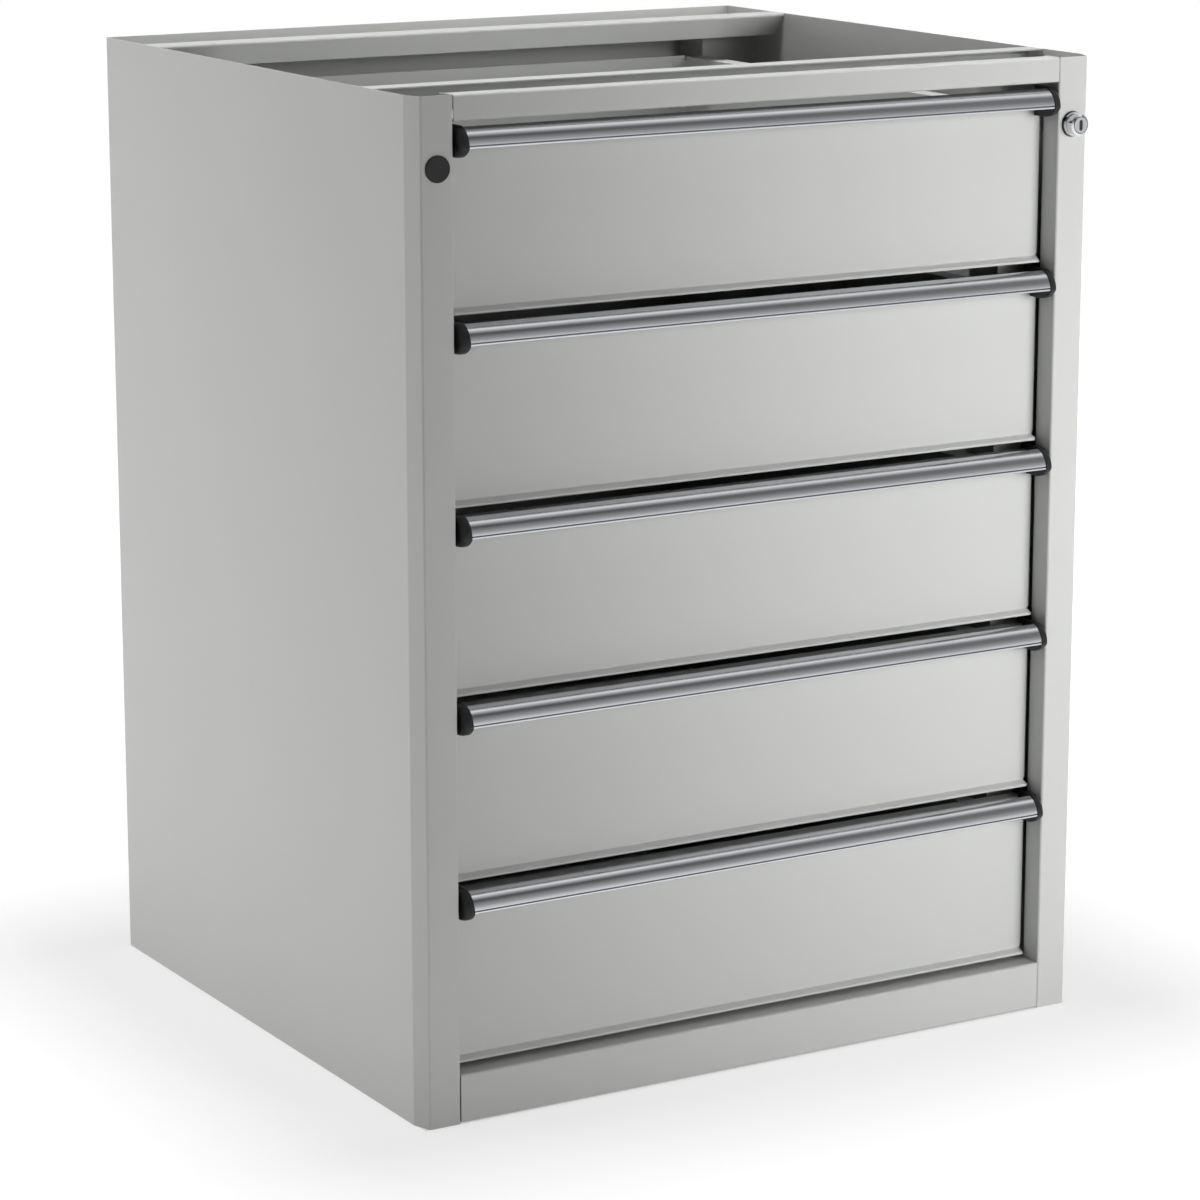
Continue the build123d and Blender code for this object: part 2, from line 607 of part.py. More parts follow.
# Plug that closes the lock hole in the left upright
with BuildPart() as hole_plug:
    plug_place = (-LOCK_X, LOCK_LEVEL)
    with BuildSketch(elevation(0)):
        with Locations(plug_place):
            Circle(PLUG_DIAMETER / 2)
    extrude(amount=PLUG_HEIGHT)
    chamfer(faces().sort_by(Axis.Y)[0].edges(), length=PLUG_CHAMFER)
    with BuildSketch(elevation(0)):
        with Locations(plug_place):
            Circle(LOCK_HOLE / 2 - PLUG_STEM_FIT)
    extrude(amount=-PLUG_STEM_LENGTH)
save(hole_plug, "hole_plug")
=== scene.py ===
import json
from math import asin, ceil, cos, hypot, pi, radians, sin, tau

import bmesh
import bpy
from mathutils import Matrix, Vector

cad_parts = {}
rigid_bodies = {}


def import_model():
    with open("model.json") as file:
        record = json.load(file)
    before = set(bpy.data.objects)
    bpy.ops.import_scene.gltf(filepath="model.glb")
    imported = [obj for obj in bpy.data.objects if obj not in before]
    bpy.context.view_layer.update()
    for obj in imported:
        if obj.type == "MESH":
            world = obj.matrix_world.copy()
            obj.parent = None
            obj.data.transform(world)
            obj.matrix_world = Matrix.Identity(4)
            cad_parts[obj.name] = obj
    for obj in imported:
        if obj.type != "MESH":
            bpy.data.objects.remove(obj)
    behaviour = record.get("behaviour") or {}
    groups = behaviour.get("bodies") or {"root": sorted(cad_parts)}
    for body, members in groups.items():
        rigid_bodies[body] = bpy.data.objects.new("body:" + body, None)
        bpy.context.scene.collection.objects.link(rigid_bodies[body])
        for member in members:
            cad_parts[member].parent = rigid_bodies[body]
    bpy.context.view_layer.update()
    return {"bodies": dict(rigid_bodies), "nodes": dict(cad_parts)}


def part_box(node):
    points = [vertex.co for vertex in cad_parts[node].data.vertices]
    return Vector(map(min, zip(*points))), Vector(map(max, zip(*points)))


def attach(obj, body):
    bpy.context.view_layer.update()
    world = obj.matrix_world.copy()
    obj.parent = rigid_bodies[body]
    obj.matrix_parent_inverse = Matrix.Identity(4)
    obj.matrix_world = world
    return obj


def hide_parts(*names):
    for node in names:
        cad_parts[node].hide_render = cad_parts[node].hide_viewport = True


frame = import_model()

bl_info = {
    "name": "Drawer Cabinet Finish",
    "version": (1, 0, 0),
    "blender": (4, 5, 0),
    "location": "View3D > Sidebar > Cabinet",
    "description": "Paints the cabinet and adds its grip strips, end caps, rivets, lock finish and studio",
    "category": "Object",
}

DRAWERS = sorted(name for name in frame["bodies"] if name.startswith("drawer_"))
SIDES = (-1, 1)

# Edge rounding: the sheets' roll, the steps across it, and the angle past which an edge is rolled
SHEET_ROLL = 0.0003
ROLL_STEPS = 3
ROLL_ANGLE = radians(40)
WELD_DISTANCE = 0.00001

# Angles past which an edge between faces stays crisp
STRIP_CREASE = radians(35)
CAP_CREASE = radians(40)
RIVET_CREASE = radians(50)

# Steps along the strip's profile
BEAD_STEPS = 12
LIP_STEPS = 4
FACE_STEPS = 40
EDGE_STEPS = 6
UNDERSIDE_STEPS = 10
HOLLOW_STEPS = 16

# Steps round a cap, the spacing of its outline's points and how often its corners are softened
CROWN_STEPS = 30
SLOPE_STEPS = 12
RIM_STEPS = 8
CAP_SPACING = 0.0006
CAP_PASSES = 16
ON_PANEL = 0.000001

# Rivets: places along a rail, points round a head, and its half section in shares of its radius
RIVET_SHARES = (0.08, 0.5, 0.92)
RIVET_SEGMENTS = 24
RIVET_SECTION_SHARES = (
    (0, 0.05), (0.22, 0.08), (0.28, 0.34), (0.36, 0.40), (0.62, 0.36), (0.86, 0.24), (0.97, 0.10), (1, 0),
)

# Painted reflections and shade on the lock's chrome, as rings round its axis: dull at 0 and bright at 1,
# from its axis out to this reach
RING_REACH = 0.0125
# Rose: a dark ring painted round its outer edge, a painted dark reflection
ROSE_PAINTED_SHADE = [(0.0, 1.0), (0.755, 1.0), (0.785, 0.0), (1.0, 0.0)]
# Barrel: a darker face as painted reflection, a thin dark ring of painted shade at its groove, then the
# bright rim
BARREL_PAINTED_SHADE = [(0.0, 0.62), (0.50, 0.78), (0.515, 0.0), (0.55, 0.0), (0.565, 1.0), (1.0, 1.0)]

# Floor: its size, how far under the feet it lies, and its glow from the middle out to this reach
FLOOR_RADIUS = 9
FLOOR_SEGMENTS = 96
FLOOR_DROP = 0.0006
FLOOR_REACH = 4
FLOOR_GLOW = [(0.10, 0.70), (0.45, 1.0)]
FLOOR_BOUNCE = [(0.08, 1.0), (0.30, 0.95)]
# Share of the base's half size inside which the floor's glow is black: painted shade under the cabinet
FOOT_SHADE_EDGE_SHARE = 0.97

# What the metal mirrors, from level in front (0), over the top (0.5) to level behind (1)
MIRROR_BANDS = [
    (0.0, 0.87), (0.045, 0.83), (0.068, 0.70), (0.086, 0.57), (0.12, 0.44), (0.155, 0.365), (0.207, 0.26),
    (0.241, 0.18), (0.285, 0.08), (0.31, 0.09), (0.33, 0.19), (0.365, 0.39), (0.40, 0.59), (0.43, 0.91),
    (0.47, 1.0), (0.485, 0.90), (0.505, 0.17), (0.55, 0.19), (0.60, 0.40), (0.65, 0.50), (1.0, 0.50),
]
MIRROR_STRENGTH = 1.15
# Least brightness of those bands, which grows to the right: directions, then brightness
HAZE_SPAN = (0.486, 0.58)
HAZE_LEVELS = (0.08, 0.24)

LAMPS = {
    "key_lamp": {
        "place": (0.85, -2.00, 0.56), "target": (0.47, -0.27, 0.43),
        "width": 0.8, "height": 1.5, "watts": 6.35, "spread": radians(56),
    },
    "foot_lamp": {
        "place": (-0.10, -1.60, 0.10), "target": (-0.10, -0.27, 0.02),
        "width": 1.0, "height": 0.08, "watts": 0.06, "spread": radians(20),
    },
    "side_lamp": {
        "place": (-2.00, 0.90, 0.30), "target": (-0.31, 0.0, 0.34),
        "width": 1.6, "height": 1.6, "watts": 31, "spread": pi,
    },
    "top_lamp": {
        "place": (0.0, 0.0, 2.60), "target": (0.0, 0.001, 0.80),
        "width": 0.36, "height": 0.45, "watts": 37, "spread": pi,
    },
}


# Sizes and colours


class CabinetPaint(bpy.types.PropertyGroup):
    """Powder coat on the folded sheets"""

    colour: bpy.props.FloatVectorProperty(
        name="Paint", description="Light grey of the powder coat",
        subtype="COLOR", size=4, min=0, max=1, default=(0.560, 0.566, 0.552, 1),
    )
    shade: bpy.props.FloatVectorProperty(
        name="Paint Shade", description="Grey of the slightly thicker patches of the coat",
        subtype="COLOR", size=4, min=0, max=1, default=(0.540, 0.547, 0.532, 1),
    )
    roughness: bpy.props.FloatProperty(
        name="Roughness", description="Mean roughness of the satin coat",
        subtype="FACTOR", min=0, max=1, default=0.46,
    )
    peel: bpy.props.FloatProperty(
        name="Orange Peel", description="Height of the fine waves in the coat",
        unit="LENGTH", default=0.000012,
    )


class CabinetStrip(bpy.types.PropertyGroup):
    """Grip strip along the top of each drawer front"""

    radius: bpy.props.FloatProperty(
        name="Radius", description="Radius of the curved face", unit="LENGTH", default=0.0165,
    )
    sweep: bpy.props.FloatProperty(
        name="Sweep", description="Angle that the curved face turns through",
        subtype="ANGLE", default=radians(73),
    )
    wall: bpy.props.FloatProperty(
        name="Wall", description="Thickness of the profile", unit="LENGTH", default=0.002,
    )
    web_drop: bpy.props.FloatProperty(
        name="Web Drop", description="Top of the strip down to the top of its web",
        unit="LENGTH", default=0.0065,
    )
    fold: bpy.props.FloatProperty(
        name="Fold", description="Outer radius where the web turns down into the leg",
        unit="LENGTH", default=0.0025,
    )
    groove_rise: bpy.props.FloatProperty(
        name="Groove Rise", description="Lower edge up to the groove over the bead",
        unit="LENGTH", default=0.0021,
    )
    groove_width: bpy.props.FloatProperty(
        name="Groove Width", description="Width of that groove",
        unit="LENGTH", default=0.0011,
    )
    groove_depth: bpy.props.FloatProperty(
        name="Groove Depth", description="Depth of that groove",
        unit="LENGTH", default=0.0014,
    )
    colour: bpy.props.FloatVectorProperty(
        name="Aluminium", description="Colour of the anodised aluminium",
        subtype="COLOR", size=4, min=0, max=1, default=(0.60, 0.612, 0.638, 1),
    )
    roughness: bpy.props.FloatProperty(
        name="Roughness", description="Mean roughness of the drawn surface",
        subtype="FACTOR", min=0, max=1, default=0.17,
    )


class CabinetCap(bpy.types.PropertyGroup):
    """Moulded caps on the ends of the grip strips"""

    overlap: bpy.props.FloatProperty(
        name="Overlap", description="How far the cap stands out past the strip",
        unit="LENGTH", default=0.0008,
    )
    slope: bpy.props.FloatProperty(
        name="Slope", description="Front of the cap back to the toe of its foot",
        unit="LENGTH", default=0.016,
    )
    bulge: bpy.props.FloatProperty(
        name="Bulge", description="Swell of the slope between the front and the toe",
        unit="LENGTH", default=0.0021,
    )
    rim: bpy.props.FloatProperty(
        name="Rim", description="How far the outer end rounds off along the strip and to the front",
        unit="LENGTH", default=0.0042,
    )
    crown: bpy.props.FloatProperty(
        name="Crown", description="How far the outer end rounds off at its top and bottom",
        unit="LENGTH", default=0.0022,
    )
    colour: bpy.props.FloatVectorProperty(
        name="Plastic", description="Black of the moulded plastic",
        subtype="COLOR", size=4, min=0, max=1, default=(0.010, 0.010, 0.0105, 1),
    )
    roughness: bpy.props.FloatProperty(
        name="Roughness", description="Mean roughness of the satin plastic",
        subtype="FACTOR", min=0, max=1, default=0.46,
    )


class CabinetMetal(bpy.types.PropertyGroup):
    """Plated steel of the slides and the lock"""

    fold: bpy.props.FloatProperty(
        name="Fold", description="Rounding of the rails' rolled edges", unit="LENGTH", default=0.0007,
    )
    rail_sheet: bpy.props.FloatProperty(
        name="Rail Sheet", description="Thickness of the rails' steel", unit="LENGTH", default=0.0015,
    )
    rivet: bpy.props.FloatProperty(
        name="Rivet", description="Diameter of the rivet heads in the inner rails",
        unit="LENGTH", default=0.0085,
    )
    zinc: bpy.props.FloatVectorProperty(
        name="Zinc", description="Colour of the zinc plating",
        subtype="COLOR", size=4, min=0, max=1, default=(0.63, 0.645, 0.66, 1),
    )
    chrome: bpy.props.FloatVectorProperty(
        name="Chrome", description="Colour of the lock's chrome plating",
        subtype="COLOR", size=4, min=0, max=1, default=(0.66, 0.665, 0.68, 1),
    )


class CabinetStudio(bpy.types.PropertyGroup):
    """Camera, lamps and floor"""

    lens: bpy.props.FloatProperty(
        name="Lens", description="Focal length", subtype="DISTANCE_CAMERA", default=124.144,
    )
    place: bpy.props.FloatVectorProperty(
        name="Camera Place", description="Where the camera stands",
        subtype="TRANSLATION", size=3, default=(-1.7355, -2.9469, 1.1232),
    )
    yaw: bpy.props.FloatProperty(
        name="Yaw", description="Turn of the camera to the right of straight back",
        subtype="ANGLE", default=radians(30.606),
    )
    pitch: bpy.props.FloatProperty(
        name="Pitch", description="How far the camera looks down",
        subtype="ANGLE", default=radians(13.015),
    )
    ambient: bpy.props.FloatProperty(
        name="Ambient", description="Strength of the even light from all round",
        min=0, max=2, default=0.11,
    )
    floor_grey: bpy.props.FloatProperty(
        name="Floor", description="Grey of the pale floor", subtype="FACTOR", min=0, max=1, default=0.85,
    )


# Shader expressions


class Wire:
    """A node tree with one of its sockets, which takes part in sums written in Python"""

    def __init__(self, tree, socket=None):
        self.tree = tree
        self.socket = socket

    def node(self, kind, settings=None, sockets=None, output=0):
        """Adds a node: its settings first, then the values or links of its sockets"""
        made = self.tree.nodes.new(kind)
        for name, value in (settings or {}).items():
            if name == "stops":
                lay_stops(made.color_ramp, value)
            else:
                setattr(made, name, value)
        for name, value in (sockets or {}).items():
            if isinstance(value, Wire):
                self.tree.links.new(value.socket, made.inputs[name])
            else:
                made.inputs[name].default_value = value
        return Wire(self.tree, made.outputs[output] if made.outputs else None)

    def math(self, operation, first, second):
        return self.node("ShaderNodeMath", {"operation": operation}, {0: first, 1: second})

    def __add__(self, other):
        return self.math("ADD", self, other)

    def __radd__(self, other):
        return self.math("ADD", other, self)

    def __sub__(self, other):
        return self.math("SUBTRACT", self, other)

    def __rsub__(self, other):
        return self.math("SUBTRACT", other, self)

    def __mul__(self, other):
        return self.math("MULTIPLY", self, other)

    def __rmul__(self, other):
        return self.math("MULTIPLY", other, self)


def lay_stops(ramp, stops):
    """Gives a colour ramp its stops, as (position, grey or colour) pairs"""
    while len(ramp.elements) < len(stops):
        ramp.elements.new(1)
    for element, (position, colour) in zip(ramp.elements, stops):
        element.position = position
        element.color = colour if isinstance(colour, tuple) else (colour, colour, colour, 1)


def new_finish(name):
    """A material with an empty node tree"""
    finish = bpy.data.materials.new(name)
    finish.use_nodes = True
    finish.node_tree.nodes.clear()
    return finish, Wire(finish.node_tree)


def vector_sum(tree, operation, first, second):
    """One step of vector maths"""
    return tree.node("ShaderNodeVectorMath", {"operation": operation}, {0: first, 1: second})


def length_of(tree, vector):
    """Length of a vector"""
    return tree.node("ShaderNodeVectorMath", {"operation": "LENGTH"}, {0: vector}, "Value")


def along_axis(tree, vector, axis):
    """One of a vector's X, Y and Z"""
    return tree.node("ShaderNodeSeparateXYZ", {}, {0: vector}, axis)


def graded(tree, stops, factor):
    """A colour ramp"""
    return tree.node("ShaderNodeValToRGB", {"stops": stops}, {"Fac": factor})


def spread_over(tree, value, span, levels):
    """Takes a value from one span to another and stops at its ends"""
    return tree.node("ShaderNodeMapRange", {}, {
        "Value": value, 1: span[0], 2: span[1], 3: levels[0], 4: levels[1],
    })


def seen_by(tree, ray):
    """1 for rays of that kind and 0 for others"""
    return tree.node("ShaderNodeLightPath", output=ray)


def toned(colour, share):
    """A lighter or darker tone of a colour"""
    return tuple(share * level for level in colour[:3]) + (1,)


def stretched_noise(tree, scale, detail, stretch=(1, 1, 1)):
    """Noise in the object's own metres, pulled out along an axis by a small stretch value"""
    place = tree.node("ShaderNodeTexCoord", output="Object")
    place = vector_sum(tree, "MULTIPLY", place, stretch)
    return tree.node("ShaderNodeTexNoise", {}, {"Vector": place, "Scale": scale, "Detail": detail})


def between(tree, factor, first, second):
    """A colour between two"""
    settings = {"data_type": "RGBA", "clamp_factor": True}
    return tree.node("ShaderNodeMix", settings, {0: factor, 6: first, 7: second}, 2)


def bumped(tree, height, distance):
    """A normal from a height of 0 to 1"""
    return tree.node("ShaderNodeBump", {}, {"Height": height, "Strength": 1.0, "Distance": distance})


def close_surface(tree, sockets):
    """Joins a Principled shader to the output"""
    shader = tree.node("ShaderNodeBsdfPrincipled", {}, sockets)
    tree.node("ShaderNodeOutputMaterial", {}, {"Surface": shader})


def powder_coat(paint):
    """Satin light grey powder coat: cloudy shade, fine waves and a finer grain"""
    finish, tree = new_finish("grey_powder_coat")
    clouds = stretched_noise(tree, 9, 3)
    waves = stretched_noise(tree, 420, 2)
    grain = stretched_noise(tree, 1500, 2)
    close_surface(tree, {
        "Base Color": between(tree, clouds * 0.7 + grain * 0.3, paint.colour, paint.shade),
        "Roughness": paint.roughness - 0.06 + waves * 0.08 + clouds * 0.04,
        "IOR": 1.5,
        "Normal": bumped(tree, waves * 0.75 + grain * 0.25, paint.peel),
    })
    return finish


def drawn_aluminium(strip):
    """Anodised aluminium with the fine lines of the drawing die along the strip"""
    finish, tree = new_finish("anodised_aluminium")
    lines = stretched_noise(tree, 1900, 2, (0.004, 1, 1))
    bands = stretched_noise(tree, 320, 2, (0.01, 1, 1))
    specks = stretched_noise(tree, 2600, 2)
    close_surface(tree, {
        "Base Color": between(tree, lines * 0.6 + bands * 0.4, strip.colour, toned(strip.colour, 0.9)),
        "Metallic": 1.0,
        "Roughness": strip.roughness - 0.06 + lines * 0.07 + specks * 0.05,
        "Normal": bumped(tree, lines * 0.7 + specks * 0.3, 0.000002),
    })
    return finish


def black_plastic(cap):
    """Satin moulded plastic with a fine spark-eroded grain"""
    finish, tree = new_finish("black_moulded_plastic")
    grain = stretched_noise(tree, 2400, 3)
    clouds = stretched_noise(tree, 60, 2)
    close_surface(tree, {
        "Base Color": between(tree, clouds * 0.6 + grain * 0.4, cap.colour, toned(cap.colour, 1.9)),
        "Roughness": cap.roughness - 0.06 + grain * 0.12,
        "Specular IOR Level": 0.3,
        "Normal": bumped(tree, grain, 0.000010),
    })
    return finish


def chrome_plate(metal, name, axis, rings):
    """Chrome with faint smears from the key, and rings of painted reflection and painted shade that dull its
    colour away from the axis
    """
    finish, tree = new_finish(name)
    smears = stretched_noise(tree, 260, 3, (1, 1, 0.35))
    place = tree.node("ShaderNodeTexCoord", output="Object")
    aside = vector_sum(tree, "SUBTRACT", place, axis)
    away = length_of(tree, vector_sum(tree, "MULTIPLY", aside, (1, 0, 1)))
    # Painted reflection and shade: these rings darken the chrome's colour by distance from the lock's axis
    painted_level = graded(tree, rings, away * (1 / RING_REACH))
    close_surface(tree, {
        "Base Color": between(tree, painted_level, toned(metal.chrome, 0.08), metal.chrome),
        "Metallic": 1.0,
        "Roughness": 0.05 + smears * 0.08,
        "Normal": bumped(tree, smears, 0.000004),
    })
    return finish


def zinc_plate(metal):
    """Bright zinc plating with rolling lines and a soft crystal bloom"""
    finish, tree = new_finish("zinc_plate")
    place = tree.node("ShaderNodeTexCoord", output="Object")
    bloom = tree.node("ShaderNodeTexVoronoi", {"feature": "SMOOTH_F1"}, {"Vector": place, "Scale": 160})
    rolled = stretched_noise(tree, 900, 2, (1, 0.01, 1))
    close_surface(tree, {
        "Base Color": between(tree, bloom * 0.7 + rolled * 0.4, metal.zinc, toned(metal.zinc, 0.78)),
        "Metallic": 1.0,
        "Roughness": 0.26 + rolled * 0.12 + bloom * 0.08,
        "Normal": bumped(tree, rolled, 0.000004),
    })
    return finish


def give_finish(names, finish):
    """Puts a finish on the solids of those names"""
    for name in names:
        for slot in frame["nodes"][name].material_slots:
            slot.material = finish


def roll_edges(names, width):
    """Rounds the edges of those solids by a modifier"""
    for name in names:
        solid = frame["nodes"][name]
        weld = solid.modifiers.new("Join Faces", "WELD")
        weld.merge_threshold = WELD_DISTANCE
        rolled = solid.modifiers.new("Rolled Edges", "BEVEL")
        rolled.width = width
        rolled.segments = ROLL_STEPS
        rolled.limit_method = "ANGLE"
        rolled.angle_limit = ROLL_ANGLE


def nodes_ending(*endings):
    """Names of the solids that end in one of these words"""
    return [name for name in frame["nodes"] if name.endswith(endings)]


def shared_finish(name, maker, sizes):
    """The finish of that name, made the first time that it is asked for"""
    return bpy.data.materials.get(name) or maker(sizes)


# Mesh helpers


def at_angle(centre, radius, angle):
    """Point on a circle, as a (depth, height) pair"""
    return centre[0] + radius * cos(angle), centre[1] + radius * sin(angle)


def arc(centre, radius, start, end, steps):
    """Points from one angle to another"""
    turn = (end - start) / steps
    return [at_angle(centre, radius, start + turn * step) for step in range(steps + 1)]


def loop_of(mesh, x, outline):
    """A ring of vertices across the cabinet at one place"""
    return [mesh.verts.new((x, depth, height)) for depth, height in outline]


def bridge(mesh, first, second):
    """Faces between two rings of equal count"""
    count = len(first)
    for index in range(count):
        after = (index + 1) % count
        mesh.faces.new((first[index], first[after], second[after], second[index]))


def finished_piece(name, mesh, body, finish, sharp_angle):
    """Turns built faces into an object that rides on a body"""
    bmesh.ops.recalc_face_normals(mesh, faces=mesh.faces)
    data = bpy.data.meshes.new(name)
    mesh.to_mesh(data)
    mesh.free()
    data.shade_smooth()
    data.set_sharp_from_angle(angle=sharp_angle)
    data.materials.append(finish)
    piece = bpy.data.objects.new(name, data)
    bpy.context.scene.collection.objects.link(piece)
    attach(piece, body)
    return piece


# Pieces


def strip_outline(strip, low, high):
    """Closed profile of the strip, fitted to the box of its solid"""
    half_wall = strip.wall / 2
    inner_radius = strip.radius - strip.wall
    middle_radius = strip.radius - half_wall
    centre = (low.y + strip.radius, high.z - strip.radius * sin(strip.sweep))
    top_angle = pi - strip.sweep
    bead_angle = pi - asin(half_wall / middle_radius)
    bead = at_angle(centre, middle_radius, bead_angle)
    groove = pi - asin(strip.groove_rise / strip.radius)
    groove_half = strip.groove_width / 2 / strip.radius
    edge_radius = half_wall / 2
    edge_angle = top_angle + edge_radius / middle_radius
    web_top = high.z - strip.web_drop
    web_bottom = web_top - strip.wall
    web_top_angle = pi - asin((web_top - centre[1]) / inner_radius)
    web_bottom_angle = pi - asin((web_bottom - centre[1]) / inner_radius)
    leg_front = high.y - strip.wall
    fold = strip.fold

    points = arc(bead, half_wall, bead_angle + pi, bead_angle, BEAD_STEPS)
    points += arc(centre, strip.radius, bead_angle, groove + groove_half, LIP_STEPS)[1:]
    points.append(at_angle(centre, strip.radius - strip.groove_depth, groove))
    points += arc(centre, strip.radius, groove - groove_half, edge_angle, FACE_STEPS)
    outer_edge = at_angle(centre, strip.radius - edge_radius, edge_angle)
    points += arc(outer_edge, edge_radius, edge_angle, edge_angle - pi / 2, EDGE_STEPS)[1:]
    inner_edge = at_angle(centre, inner_radius + edge_radius, edge_angle)
    points += arc(inner_edge, edge_radius, edge_angle - pi / 2, edge_angle - pi, EDGE_STEPS)
    points += arc(centre, inner_radius, edge_angle, web_top_angle, UNDERSIDE_STEPS)[1:]
    points += arc((high.y - fold, web_top - fold), fold, pi / 2, 0, EDGE_STEPS)
    points += [(high.y, low.z), (leg_front, low.z), (leg_front, web_bottom)]
    points += arc(centre, inner_radius, web_bottom_angle, bead_angle, HOLLOW_STEPS)[:-1]
    return points


class CABINET_OT_grip_strips(bpy.types.Operator):
    """Draw the five grip strips along the drawers' top edges"""

    bl_idname = "cabinet.grip_strips"
    bl_label = "Grip Strips"

    def execute(self, context):
        strip = context.scene.cabinet_strip
        finish = drawn_aluminium(strip)
        for drawer in DRAWERS:
            node = f"{drawer}_handle"
            low, high = (Vector(corner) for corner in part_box(node))
            outline = strip_outline(strip, low, high)
            mesh = bmesh.new()
            first = loop_of(mesh, low.x, outline)
            second = loop_of(mesh, high.x, outline)
            bridge(mesh, first, second)
            mesh.faces.new(first)
            mesh.faces.new(second)
            piece = finished_piece(f"{drawer}_grip_strip", mesh, drawer, finish, STRIP_CREASE)
            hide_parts(node)
        return {"FINISHED"}


def even_points(outline, step):
    """The same closed outline with points at even steps"""
    evened = []
    for (depth, height), (next_depth, next_height) in zip(outline, outline[1:] + outline[:1]):
        run = hypot(next_depth - depth, next_height - height)
        count = max(1, ceil(run / step))
        for index in range(count):
            share = index / count
            evened.append((depth + (next_depth - depth) * share, height + (next_height - height) * share))
    return evened


def softened(outline, back, passes):
    """Rounds an outline's corners, apart from those that lie on the panel"""
    for _ in range(passes):
        before = outline[-1:] + outline[:-1]
        after = outline[1:] + outline[:1]
        outline = [
            here if here[0] >= back - ON_PANEL else (
                (last[0] + 2 * here[0] + coming[0]) / 4, (last[1] + 2 * here[1] + coming[1]) / 4,
            )
            for last, here, coming in zip(before, outline, after)
        ]
    return outline


def drawn_in(outline, front, height, back):
    """Draws an outline in towards the panel by a length at the front and at the top and bottom"""
    depths = [depth for depth, _ in outline]
    levels = [level for _, level in outline]
    middle = (min(levels) + max(levels)) / 2
    shorter = 1 - front / (back - min(depths))
    lower = 1 - 2 * height / (max(levels) - min(levels))
    return [(back + (depth - back) * shorter, middle + (level - middle) * lower) for depth, level in outline]


def cap_outline(cap, strip, handle_low, handle_high, low):
    """Closed side outline of a cap: crown over the strip, swelling slope and foot on the panel"""
    radius = strip.radius + cap.overlap
    centre = (handle_low.y + strip.radius, handle_high.z - strip.radius * sin(strip.sweep))
    crown = arc(centre, radius, pi - strip.sweep, pi, CROWN_STEPS)
    front = crown[-1]
    toe = (front[0] + cap.slope, low.z)
    run = Vector((toe[0] - front[0], toe[1] - front[1]))
    outward = Vector((run.y, -run.x)).normalized()
    slope = []
    for step in range(1, SLOPE_STEPS):
        share = step / SLOPE_STEPS
        swell = 4 * cap.bulge * share * (1 - share)
        slope.append((
            front[0] + run.x * share + outward.x * swell,
            front[1] + run.y * share + outward.y * swell,
        ))
    back = handle_high.y
    return crown + slope + [toe, (back, low.z), (back, crown[0][1])]


class CABINET_OT_end_caps(bpy.types.Operator):
    """Mould the black caps on the strips' ends"""

    bl_idname = "cabinet.end_caps"
    bl_label = "End Caps"

    def execute(self, context):
        cap = context.scene.cabinet_cap
        strip = context.scene.cabinet_strip
        finish = black_plastic(cap)
        for drawer in DRAWERS:
            node = f"{drawer}_end_caps"
            low, high = (Vector(corner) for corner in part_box(node))
            handle_low, handle_high = (Vector(corner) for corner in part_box(f"{drawer}_handle"))
            back = handle_high.y
            outline = cap_outline(cap, strip, handle_low, handle_high, low)
            outline = softened(even_points(outline, CAP_SPACING), back, CAP_PASSES)
            mesh = bmesh.new()
            for side in SIDES:
                last = loop_of(mesh, side * handle_high.x, outline)
                mesh.faces.new(last)
                for step in range(RIM_STEPS + 1):
                    turn = step / RIM_STEPS * pi / 2
                    gone = 1 - cos(turn)
                    ring = drawn_in(outline, cap.rim * gone, cap.crown * gone, back)
                    coming = loop_of(mesh, side * (high.x - cap.rim * (1 - sin(turn))), ring)
                    bridge(mesh, last, coming)
                    last = coming
                mesh.faces.new(last)
            piece = finished_piece(
                f"{drawer}_moulded_caps", mesh, drawer, finish, CAP_CREASE,
            )
            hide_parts(node)
        return {"FINISHED"}


class CABINET_OT_paint_sheets(bpy.types.Operator):
    """Powder coat the carcass, the drawer fronts and the trays"""

    bl_idname = "cabinet.paint_sheets"
    bl_label = "Painted Sheets"

    def execute(self, context):
        finish = powder_coat(context.scene.cabinet_paint)
        painted = nodes_ending(
            "_panel", "base_pan", "_front_rail", "_rear_rail", "runner_posts", "_front", "_tray", "_back",
        )
        give_finish(painted, finish)
        roll_edges(nodes_ending("_front", "_tray"), SHEET_ROLL)
        return {"FINISHED"}


def lay_rivet(mesh, seat, side, diameter):
    """Turns one rivet head on a face that looks sideways, from its dimple outwards"""
    half = diameter / 2
    profile = [(half * radius, half * height) for radius, height in RIVET_SECTION_SHARES]
    tip = mesh.verts.new((seat.x + side * profile[0][1], seat.y, seat.z))
    rings = []
    for radius, height in profile[1:]:
        rings.append([
            mesh.verts.new((
                seat.x + side * height,
                seat.y + radius * cos(tau * index / RIVET_SEGMENTS),
                seat.z + radius * sin(tau * index / RIVET_SEGMENTS),
            ))
            for index in range(RIVET_SEGMENTS)
        ])
    for index in range(RIVET_SEGMENTS):
        mesh.faces.new((tip, rings[0][index], rings[0][(index + 1) % RIVET_SEGMENTS]))
    for first, second in zip(rings, rings[1:]):
        bridge(mesh, first, second)
    mesh.faces.new(rings[-1])


